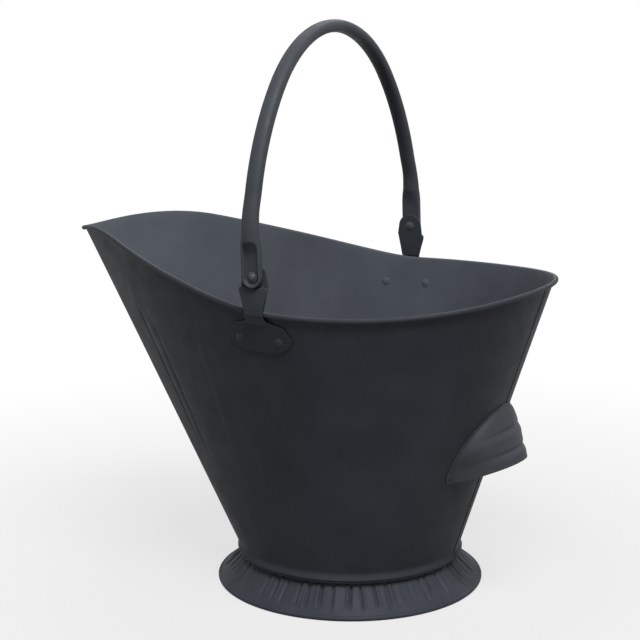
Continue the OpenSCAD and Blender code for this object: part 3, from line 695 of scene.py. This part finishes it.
def ear_mesh():
    """The +Y ear's back plate, ledge, wings and front sheet as overlapping closed parts."""
    corner = EAR_CORNER_W - 0.5
    disc = [(EAR_TOP_R * math.cos(t), EAR_TOP_R * math.sin(t)) for t in np.radians(np.arange(0, 181, 6))]
    low = 2.5 - PIVOT_LIFT
    neck_w = EAR_NECK_W - 0.4
    back = disc + [(-corner, CORNER_Z), (0.6 - corner, CORNER_Z - 1.5), (-neck_w, low), (neck_w, low),
                   (corner - 0.6, CORNER_Z - 1.5), (corner, CORNER_Z)]
    ledge = [(-LEDGE_R, CORNER_Z - 0.2), (3 - LEDGE_R, CORNER_Z - 3.1),
             (LEDGE_R - 3, CORNER_Z - 3.1), (LEDGE_R, CORNER_Z - 0.2)]
    neck = 3 - PIVOT_LIFT
    neck_x = EAR_NECK_W + 0.3
    wing = [(corner - 0.4, CORNER_Z - 1.2), (neck_x, neck + 3.3),
            (neck_x - EAR_T, neck + 3.1), (corner - EAR_T, CORNER_Z - 1.2)]
    half = BACK_PLATE_Y + EAR_T / 2
    parts = [
        plate(back, BACK_PLATE_Y, BACK_PLATE_Y + EAR_T),
        plate(ledge, half, FRONT_Y + EAR_T / 2),
        plate(wing, half, FRONT_Y + EAR_T / 2),
        plate([(-x, z) for x, z in wing][::-1], half, FRONT_Y + EAR_T / 2),
        ear_side_shell(),
    ]
    return mesh_from("ear_solid", *join(parts))


# Half angle of the ledge's round middle, beyond which it rises in straight flanks
BOWL_TURN = 6


def bowl_mesh():
    """The space round the bail's end that the ledge leaves free."""
    circle = [(LEDGE_R * math.cos(t), LEDGE_R * math.sin(t)) for t in np.radians(np.arange(180, 361, 4))]
    low = math.radians(BOWL_TURN)
    run = 24.0
    side_z = -LEDGE_R / math.cos(low) + run * math.tan(low)
    ends = [(run, side_z), (run, 20), (-run, 20), (-run, side_z)]
    bottom = [p for p in circle if abs(math.degrees(math.atan2(p[0], -p[1]))) < BOWL_TURN]
    return mesh_from("bowl", *plate(bottom + ends, BACK_PLATE_Y + EAR_T + 0.1, FRONT_Y + 12))


def make_ears():
    """Fuses the ear's parts, hollows the ledge, softens the edges and mirrors the result."""
    solid = bpy.data.objects.new("ear_work", ear_mesh())
    bowl = bpy.data.objects.new("bowl_work", bowl_mesh())
    for work in (solid, bowl):
        bpy.context.scene.collection.objects.link(work)
    fuse = solid.modifiers.new("fuse", "REMESH")
    fuse.mode = "VOXEL"
    fuse.voxel_size = FUSE_GRAIN * MM
    apply_modifiers(solid)
    cut = solid.modifiers.new("cut", "BOOLEAN")
    cut.operation = "DIFFERENCE"
    cut.object = bowl
    cut.solver = "EXACT"
    again = solid.modifiers.new("again", "REMESH")
    again.mode = "VOXEL"
    again.voxel_size = FINE_GRAIN * MM
    soften = solid.modifiers.new("soften", "SMOOTH")
    soften.factor = 0.5
    soften.iterations = 8
    thin = solid.modifiers.new("thin", "DECIMATE")
    thin.ratio = FACES_KEPT
    apply_modifiers(solid)
    mesh = solid.data
    bpy.data.objects.remove(bowl)
    bpy.data.objects.remove(solid)
    ears = []
    for name, sign in (("left", 1), ("right", -1)):
        copy = mesh.copy()
        if sign < 0:
            copy.transform(Matrix.Scale(-1, 4, Vector((0, 1, 0))))
            copy.flip_normals()
        copy.polygons.foreach_set("use_smooth", [True] * len(copy.polygons))
        ear = bpy.data.objects.new(f"ear_plate_{name}", copy)
        bpy.context.scene.collection.objects.link(ear)
        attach(ear, "bucket")
        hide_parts(f"ear_{name}")
        ears.append(ear)
    return ears


# Bail: an oval tube whose ends are pressed into channels
END_Y0 = WEB_Y
END_Y1 = WEB_Y + WEB_T + CHANNEL_DEPTH
END_MID = (END_Y0 + END_Y1) / 2
SPRING_H = 6.0
BAIL_HALF_W = END_MID + BAIL_BOW
CROWN_R = BAIL_HALF_W - CROWN_NARROW
CROWN_H = BAIL_H - CROWN_R
SIDE_B = BAIL_H - SPRING_H - CROWN_R
SIDE_R = (BAIL_HALF_W ** 2 + SIDE_B ** 2 - CROWN_R ** 2) / (2 * (BAIL_HALF_W - CROWN_R))
CROWN_TURN = math.degrees(math.atan2(CROWN_H - SPRING_H, SIDE_R - BAIL_HALF_W))

# Heights over the pivot at which the tube is whole and at which it is as narrow as the rest of the arch
TUBE_START = END_H + 10
NARROW_H = END_H + 28
SIDE_FIRST = math.degrees(math.asin((TUBE_START - SPRING_H) / SIDE_R))

# Numbers of points across the pressed end's front, side and back
FRONT_N, SIDE_N, BACK_N = 57, 9, 25

# Between these heights the arch settles onto the middle of its pressed ends
SETTLE_FROM, SETTLE_TO = 30, 64


def channel_front(d):
    """How far the pressed end's front lies below its raised edges, at the distance d from its outline."""
    over = 1.0 - np.sqrt(np.clip(1 - (1 - np.clip(d, 0, 1)) ** 2, 0, 1))
    return CHANNEL_DEPTH * smooth(EDGE_W - 0.3, EDGE_W + 2.0, d) + over * (d < 1)


def end_profile():
    """Half section of the pressed end, from the middle over its front and side, and back to the middle."""
    x = END_R - np.linspace(END_R, 0, FRONT_N // 2 + 1)
    front = np.stack([x, END_Y1 - channel_front(END_R - x)], -1)
    edge = 0.9
    turn = np.linspace(0, 90, (SIDE_N + 1) // 2)
    low = arc_points((END_R - edge, END_Y0 + edge), edge, -turn)
    straight = np.linspace(front[-1, 1], low[0, 1], SIDE_N - len(low) + 2)[1:-1]
    side = np.vstack([np.stack([np.full(len(straight), END_R), straight], -1), low])
    back = np.stack([np.linspace(END_R - edge, 0, BACK_N // 2 + 2)[1:], np.full(BACK_N // 2 + 1, END_Y0)], -1)
    return front, side, back


def end_ring():
    """Closed section of the pressed end and the angle round the tube that each of its points takes."""
    front, side, back = end_profile()
    right = np.vstack([front[1:], side, back[:-1]])
    ring = np.vstack([front[:1], right, back[-1:], (right * [-1, 1])[::-1]])
    n = len(right)
    marks = [0, len(front) - 1, len(front) - 1 + len(side), n + 1]
    angle = np.interp(np.arange(n + 2), marks, [0, 68, 112, 180])
    return ring, np.concatenate([angle, -angle[1:-1][::-1]])


def oval(angle, t, w):
    """Section of the tube, t thick and w wide, at each angle round it."""
    s, c = np.sin(np.radians(angle)), np.cos(np.radians(angle))
    return np.stack([(w - t) / 2 * np.clip(s * math.sqrt(2), -1, 1) + t / 2 * s, t / 2 * c], -1)


# The brow over the mouth of the pressed end: how far it sags at its sides and its half width
BROW_SAG = 3.2
BROW_HALF_W = 6.4


def widened(z):
    """How many times wider than the plain tube a leg is at the height z."""
    return 1 + (2 * END_R / TUBE_W - 1) * (1 - smooth(END_H - 8, NARROW_H, z))


def pressed(z, ring, tube, fronts):
    """Section at the height z of a leg's lower stretch, before the tube is whole."""
    wide = smooth(END_H - 7, TUBE_START + 2, z)
    sag = BROW_SAG * np.minimum(1, np.abs(ring[:, 0]) / BROW_HALF_W) ** 4
    brow = smooth(END_H - 3.4 - sag, END_H + 2.4 - sag, z)
    m = wide * (1 - fronts) + np.maximum(brow, wide) * fronts
    x = ring[:, 0] * (1 - wide) + tube[:, 0] * widened(z) * wide
    y = ring[:, 1] * (1 - m) + (END_MID + tube[:, 1]) * m
    return np.stack([x, y, np.full(len(x), z)], -1)


def arched(t, tube):
    """Section of the arch at the angle t round the centre of its crown or of a side."""
    centre, r = np.array([0.0, CROWN_H]), CROWN_R
    if t < CROWN_TURN or t > 180 - CROWN_TURN:
        side_c = BAIL_HALF_W - SIDE_R
        centre, r = np.array([side_c if t < 90 else -side_c, SPRING_H]), SIDE_R
    middle = centre + r * facing(t)
    near_end = 1 - smooth(SETTLE_FROM, SETTLE_TO, middle[1])
    settle = (abs(middle[0]) - END_MID) * near_end * np.sign(middle[0])
    yz = centre + (r + tube[:, 1])[:, None] * facing(t) - [settle, 0]
    return np.column_stack([tube[:, 0] * widened(middle[1]), yz])


def end_cap(sign):
    """Points and faces of the round lower end of one leg, the one on the side of Y that sign tells."""
    half = np.vstack(end_profile())[None]
    turn = np.radians(np.linspace(0, 180, 33))[:, None]
    side = sign * np.broadcast_to(half[..., 1], (len(turn), half.shape[1]))
    cap = np.stack([half[..., 0] * np.cos(turn), side, -half[..., 0] * np.sin(turn)], -1)
    return cap.reshape(-1, 3), grid_faces(*cap.shape[:2])


def make_bail():
    ring, angle = end_ring()
    tube = oval(angle, TUBE_T, TUBE_W)
    fronts = np.clip((np.cos(np.radians(angle)) - 0.2) / 0.5, 0, 1)
    mouth = np.linspace(END_H - 7.2, END_H + 4, 25)
    blend = np.linspace(END_H + 4.8, TUBE_START, 6)
    heights = np.concatenate([[0.0], np.linspace(2, END_H - 8, 7), mouth, blend])
    leg = [pressed(z, ring, tube, fronts) for z in heights]
    near = np.linspace(SIDE_FIRST, CROWN_TURN, 26)[:-1]
    top = np.linspace(CROWN_TURN, 180 - CROWN_TURN, 60)
    far = np.linspace(180 - CROWN_TURN, 180 - SIDE_FIRST, 26)[1:]
    arch = [arched(t, tube) for t in np.concatenate([near, top, far])]
    for k, z in enumerate(blend):
        i = len(leg) - len(blend) + k
        share = (k + 1) / (len(blend) + 1)
        target = arch[0] - [0, 0, TUBE_START - z]
        leg[i] = leg[i] * (1 - share) + target * share
    other = [section * [1, -1, 1] for section in leg[::-1]]
    rings = np.array(leg + arch + other)
    tube_faces = grid_faces(len(rings), len(ring), False, True)
    points, faces = join([(rings.reshape(-1, 3), tube_faces), end_cap(1), end_cap(-1)])
    lean = math.radians(BAIL_LEAN)
    x = points[:, 0] * math.cos(lean) + points[:, 2] * math.sin(lean) + EAR_X
    z = -points[:, 0] * math.sin(lean) + points[:, 2] * math.cos(lean) + PIVOT_Z
    points = np.stack([x, points[:, 1], z], -1)
    return new_piece("bail_tube", "bail", ["bail"], points, faces, 60)


# Fasteners: radius of each shank, radius and rise of its head, radius and rise of its tail
EAR_PIN = (1.9, 3.6, 1.3, 3.6, 0.8)
GRIP_PIN = (1.3, 2.5, 0.9, 2.5, 0.6)
PIVOT_PIN = (2.5, 3.1, 1.8, 4.2, 1.0)

# Section of the pivot's washer: radius, and height over its underside
WASHER_T = 0.8
WASHER = [(2.55, 0), (2.55, WASHER_T), (3.9, WASHER_T), (4.2, 0.65), (4.3, 0.4), (4.2, 0.1), (3.9, 0)]

# Gap between a head and what lies under it
UNDER_HEAD = 0.05


def rivet_outline(low, high, shank, head, rise, tail, drop):
    """Half outline, from axis to axis, of a set rivet whose heads lie below low and above high."""
    def cap(r, h):
        ball = (r * r + h * h) / (2 * h)
        half = math.degrees(math.asin(min(1, r / ball)))
        turns = [math.radians(t) for t in np.linspace(0, half, 9)]
        return [(ball * math.sin(t), h - ball + ball * math.cos(t)) for t in turns]
    top = [(r, high + z) for r, z in cap(head, rise)]
    low_side = [(r, low - z) for r, z in cap(tail, drop)]
    stem = [(head * 0.985, high), (shank, high), (shank, low), (tail * 0.985, low)]
    return np.array(top + stem + low_side[::-1])


def make_turned(name, node, outline, matrix):
    """A piece with a turned outline, slightly out of round, that stands for one CAD node on the bucket."""
    angles = np.arange(0, 360, 7.5)
    points = turned(outline, angles)
    wobble = 1 + 0.018 * np.sin(np.radians(angles * 3 + 40 * len(name)))
    points[..., :2] *= wobble[:, None, None]
    flat = points.reshape(-1, 3)
    flat = np.array([matrix @ Vector(p) for p in flat])
    faces = grid_faces(len(angles), len(outline), True, True)
    return new_piece(name, "bucket", [node], flat, faces, 50)


def make_fasteners():
    """The rivets of the ears and the grip, and the pivots' rivets and washers."""
    pieces = []
    mirror = Matrix.Scale(-1, 4, Vector((0, 1, 0)))
    ear_top = SHEET + TOUCH + EAR_T
    for side, sign in (("left", Matrix.Identity(4)), ("right", mirror)):
        for end, d in (("front", 1), ("back", -1)):
            z = RIM_Z - EAR_RIVET_DROP
            matrix = sign @ wall_frame(side_at(EAR_X + d * EAR_RIVET_DX, z), z)
            outline = rivet_outline(-0.2, ear_top + UNDER_HEAD, *EAR_PIN)
            pieces.append(make_turned(f"ear_pin_{side}_{end}", f"ear_rivet_{side}_{end}", outline, matrix))
        z = GRIP_BOTTOM + GRIP_FLANGE
        matrix = sign @ wall_frame(back_at(GRIP_HALF_W - GRIP_FLANGE / 2, z), z)
        outline = rivet_outline(-0.15, SHEET + TOUCH + GRIP_T + UNDER_HEAD, *GRIP_PIN)
        pieces.append(make_turned(f"grip_pin_{side}", f"grip_rivet_{side}", outline, matrix))
        washer_y = WEB_Y + WEB_T + 0.15
        axis = sign @ Matrix.Translation((EAR_X, 0, PIVOT_Z)) @ Matrix.Rotation(math.radians(-90), 4, "X")
        outline = rivet_outline(BACK_PLATE_Y - UNDER_HEAD, washer_y + WASHER_T + UNDER_HEAD, *PIVOT_PIN)
        pieces.append(make_turned(f"pivot_pin_{side}", f"pivot_rivet_{side}", outline, axis))
        ring = np.array([(r, washer_y + up) for r, up in WASHER])
        pieces.append(make_turned(f"pivot_ring_{side}", f"pivot_washer_{side}", ring, axis))
    return pieces


# Materials
def new_material(name):
    """A material with its nodes, its links and its main shader."""
    material = bpy.data.materials.new(name)
    material.use_nodes = True
    nodes = material.node_tree.nodes
    return material, nodes, material.node_tree.links, nodes["Principled BSDF"]


def noise(nodes, links, coordinates, scale, detail, roughness=0.5):
    node = nodes.new("ShaderNodeTexNoise")
    node.inputs["Scale"].default_value = scale
    node.inputs["Detail"].default_value = detail
    node.inputs["Roughness"].default_value = roughness
    links.new(coordinates, node.inputs["Vector"])
    return node.outputs["Fac"]


def spread(nodes, links, value, low, high, from_low=0.3, from_high=0.7):
    """Maps a noise value onto the range from low to high."""
    node = nodes.new("ShaderNodeMapRange")
    node.inputs["From Min"].default_value = from_low
    node.inputs["From Max"].default_value = from_high
    node.inputs["To Min"].default_value = low
    node.inputs["To Max"].default_value = high
    links.new(value, node.inputs["Value"])
    return node.outputs["Result"]


# Heights between which a coat's lower tone, a painted shade under the rim, gives way to its plain one
RIM_SHADE_Z = (RIM_Z - 4, RIM_Z + 12)


def bump(nodes, links, coordinates, scale, roughness, strength, distance):
    """A bump whose height is a noise of the given scale."""
    node = nodes.new("ShaderNodeBump")
    node.inputs["Strength"].default_value = strength
    node.inputs["Distance"].default_value = distance
    links.new(noise(nodes, links, coordinates, scale, 2, roughness), node.inputs["Height"])
    return node


def coating(name, dark, light, rough, specular, low=None):
    """Satin black coating on steel: slight colour drift, uneven gloss and a fine orange-peel bump.
    The tone low, where it is given, is a painted shade that takes over under the rim."""
    material, nodes, links, shader = new_material(name)
    place = nodes.new("ShaderNodeTexCoord").outputs["Object"]
    ramp = nodes.new("ShaderNodeMix")
    ramp.data_type = "RGBA"
    ramp.inputs["A"].default_value = (*dark, 1)
    ramp.inputs["B"].default_value = (*light, 1)
    links.new(spread(nodes, links, noise(nodes, links, place, 22, 5, 0.6), 0, 1), ramp.inputs["Factor"])
    tone = ramp.outputs["Result"]
    # Painted shade: below the rim the coat darkens to the tone low
    if low:
        height = nodes.new("ShaderNodeSeparateXYZ")
        links.new(place, height.inputs[0])
        under = nodes.new("ShaderNodeMix")
        under.data_type = "RGBA"
        under.inputs["A"].default_value = (*low, 1)
        links.new(tone, under.inputs["B"])
        rise = spread(nodes, links, height.outputs["Z"], 0.0, 1.0, *(z * MM for z in RIM_SHADE_Z))
        links.new(rise, under.inputs["Factor"])
        tone = under.outputs["Result"]
    links.new(tone, shader.inputs["Base Color"])
    gloss = spread(nodes, links, noise(nodes, links, place, 60, 4, 0.6), rough - 0.05, rough + 0.07)
    links.new(gloss, shader.inputs["Roughness"])
    shader.inputs["Specular IOR Level"].default_value = specular
    fine = bump(nodes, links, place, 900, 0.5, 0.18, 0.12 * MM)
    broad = bump(nodes, links, place, 38, 0.4, 0.25, 0.6 * MM)
    links.new(fine.outputs["Normal"], broad.inputs["Normal"])
    links.new(broad.outputs["Normal"], shader.inputs["Normal"])
    return material


def drawn_wire():
    """Bare steel wire with fine lines along its length."""
    material, nodes, links, shader = new_material("drawn_steel")
    place = nodes.new("ShaderNodeTexCoord").outputs["Object"]
    ramp = nodes.new("ShaderNodeMix")
    ramp.data_type = "RGBA"
    ramp.inputs["A"].default_value = (0.28, 0.28, 0.29, 1)
    ramp.inputs["B"].default_value = (0.42, 0.42, 0.43, 1)
    links.new(spread(nodes, links, noise(nodes, links, place, 300, 4), 0, 1), ramp.inputs["Factor"])
    links.new(ramp.outputs["Result"], shader.inputs["Base Color"])
    links.new(spread(nodes, links, noise(nodes, links, place, 700, 2), 0.3, 0.45), shader.inputs["Roughness"])
    shader.inputs["Metallic"].default_value = 1.0
    return material


def dress(piece, material, inner=None):
    """Gives the piece its coat, and the faces that look towards the bucket's middle another one, such as the
    lighter coat that paints in the light falling inside.
    """
    piece.data.materials.clear()
    piece.data.materials.append(material)
    if inner:
        piece.data.materials.append(inner)
        for face in piece.data.polygons:
            if face.normal.xy.dot(face.center.xy) < 0:
                face.material_index = 1


def make_object():
    body_coat = coating("body_coat", (0.0235, 0.0268, 0.0325), (0.0325, 0.0362, 0.043), 0.58, 0.08)
    # Painted light: the inside gets a lighter copy of the body's paint that stands for the light falling
    # inside the bucket
    inside_painted_light = coating("inside_painted_light", (0.052, 0.0595, 0.071), (0.0665, 0.0755, 0.0885), 0.54, 0.1)
    # Painted light: the grip's lighter copy of the body's paint stands for the light that falls on it
    grip_painted_light = coating("grip_painted_light", (0.035, 0.0388, 0.0445), (0.047, 0.051, 0.057), 0.54, 0.1)
    foot_coat = coating("foot_coat", (0.0275, 0.0312, 0.0385), (0.0365, 0.041, 0.0498), 0.56, 0.1)
    # The ears' darker tone under the rim is painted shade
    ear_coat = coating("ear_coat", (0.0275, 0.0315, 0.0385), (0.036, 0.0405, 0.0485), 0.56, 0.09,
                       low=(0.0225, 0.0257, 0.0315))
    bail_coat = coating("bail_coat", (0.032, 0.036, 0.0425), (0.044, 0.0485, 0.0565), 0.52, 0.12)
    rivet_coat = coating("rivet_coat", (0.0255, 0.029, 0.035), (0.0345, 0.0385, 0.046), 0.54, 0.1)
    # A paler, glossier coat for the pivots' rivets and washers
    worn_coat = coating("worn_coat", (0.04, 0.0425, 0.047), (0.06, 0.063, 0.067), 0.44, 0.2)
    dress(make_body(), body_coat, inside_painted_light)
    dress(make_grip(), grip_painted_light)
    dress(make_bottom(), inside_painted_light)
    dress(make_foot(), foot_coat)
    dress(make_bail(), bail_coat)
    for ear in make_ears():
        dress(ear, ear_coat)
    for piece in make_fasteners():
        if piece.name.startswith("pivot"):
            dress(piece, worn_coat)
        else:
            dress(piece, rivet_coat, inside_painted_light)
    wire = drawn_wire()
    for node in ("rim_wire", "foot_wire"):
        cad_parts[node].data.materials.clear()
        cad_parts[node].data.materials.append(wire)


# Stage, light and camera
def lit_or_white(nodes, links, lit, white, share):
    """Mixes in plain white for rays that see the stage directly or in a reflection."""
    path = nodes.new("ShaderNodeLightPath")
    seen = path.outputs["Is Camera Ray"]
    for kind in ("Is Glossy Ray", "Is Transmission Ray"):
        add = nodes.new("ShaderNodeMath")
        add.operation = "ADD"
        add.use_clamp = True
        links.new(seen, add.inputs[0])
        links.new(path.outputs[kind], add.inputs[1])
        seen = add.outputs["Value"]
    part = nodes.new("ShaderNodeMath")
    part.operation = "MULTIPLY"
    if isinstance(share, float):
        part.inputs[1].default_value = share
    else:
        links.new(share, part.inputs[1])
    links.new(seen, part.inputs[0])
    mix = nodes.new("ShaderNodeMixShader")
    links.new(part.outputs["Value"], mix.inputs["Fac"])
    links.new(lit, mix.inputs[1])
    links.new(white, mix.inputs[2])
    return mix.outputs["Shader"]


def make_floor():
    """A pale floor that takes the shadow and fades to plain white further out."""
    mesh = bpy.data.meshes.new("floor")
    half = 6.0
    corners = [(-half, -half, 0), (half, -half, 0), (half, half, 0), (-half, half, 0)]
    mesh.from_pydata(corners, [], [(0, 1, 2, 3)])
    floor = bpy.data.objects.new("floor", mesh)
    bpy.context.scene.collection.objects.link(floor)
    material, nodes, links, shader = new_material("pale_floor")
    shader.inputs["Base Color"].default_value = (0.35, 0.35, 0.35, 1)
    shader.inputs["Roughness"].default_value = 0.9
    shader.inputs["Specular IOR Level"].default_value = 0.0
    glow = nodes.new("ShaderNodeEmission")
    glow.inputs["Strength"].default_value = 1.0
    far = nodes.new("ShaderNodeVectorMath")
    far.operation = "LENGTH"
    links.new(nodes.new("ShaderNodeTexCoord").outputs["Object"], far.inputs[0])
    share = spread(nodes, links, far.outputs["Value"], 0.72, 1.0, 0.2, 0.75)
    mixed = lit_or_white(nodes, links, shader.outputs["BSDF"], glow.outputs["Emission"], share)
    links.new(mixed, nodes["Material Output"].inputs["Surface"])
    mesh.materials.append(material)


def make_world():
    """Soft light from all round that the camera sees as plain white."""
    world = bpy.data.worlds.new("studio")
    bpy.context.scene.world = world
    world.use_nodes = True
    nodes, links = world.node_tree.nodes, world.node_tree.links
    soft = nodes["Background"]
    soft.inputs["Color"].default_value = (0.93, 0.96, 1.0, 1)
    soft.inputs["Strength"].default_value = 0.22
    white = nodes.new("ShaderNodeBackground")
    white.inputs["Color"].default_value = (1, 1, 1, 1)
    white.inputs["Strength"].default_value = 1.0
    mixed = lit_or_white(nodes, links, soft.outputs["Background"], white.outputs["Background"], 1.0)
    links.new(mixed, nodes["World Output"].inputs["Surface"])


def make_lamp(name, place, target, size, power):
    """A rectangular lamp at a place, aimed at a target."""
    lamp = bpy.data.lights.new(name, "AREA")
    lamp.shape = "RECTANGLE"
    lamp.size, lamp.size_y = size
    lamp.energy = power
    rig = bpy.data.objects.new(name, lamp)
    rig.location = place
    rig.rotation_euler = (Vector(target) - Vector(place)).to_track_quat("-Z", "Y").to_euler()
    bpy.context.scene.collection.objects.link(rig)


# Camera: its place in metres, its angles in degrees and its lens in millimetres
CAMERA_PLACE = (-0.6028, 1.2285, 0.5065)
CAMERA_HEADING = -62.81
CAMERA_PITCH = 11.72
CAMERA_ROLL = -0.16
CAMERA_FOCAL = 94.05


def make_camera():
    """The camera with the photo's view."""
    data = bpy.data.cameras.new("camera")
    data.lens = CAMERA_FOCAL
    data.sensor_width = 36
    camera = bpy.data.objects.new("camera", data)

    def turn(degrees, axis):
        return Matrix.Rotation(math.radians(degrees), 4, axis)

    level = turn(CAMERA_HEADING - 90, "Z") @ turn(90, "X")
    tilt = turn(-CAMERA_PITCH, "X") @ turn(CAMERA_ROLL, "Z")
    camera.matrix_world = Matrix.Translation(CAMERA_PLACE) @ level @ tilt
    bpy.context.scene.collection.objects.link(camera)
    bpy.context.scene.camera = camera


make_object()
make_floor()
make_world()
make_lamp("key_light", (-0.85, 0.97, 2.25), (0.0, 0.0, 0.2), (1.3, 1.0), 80)
make_lamp("back_light", (0.3, -1.7, 1.8), (0.0, 0.0, 0.2), (1.4, 1.0), 12)
make_camera()
bpy.context.scene.view_settings.view_transform = "Standard"
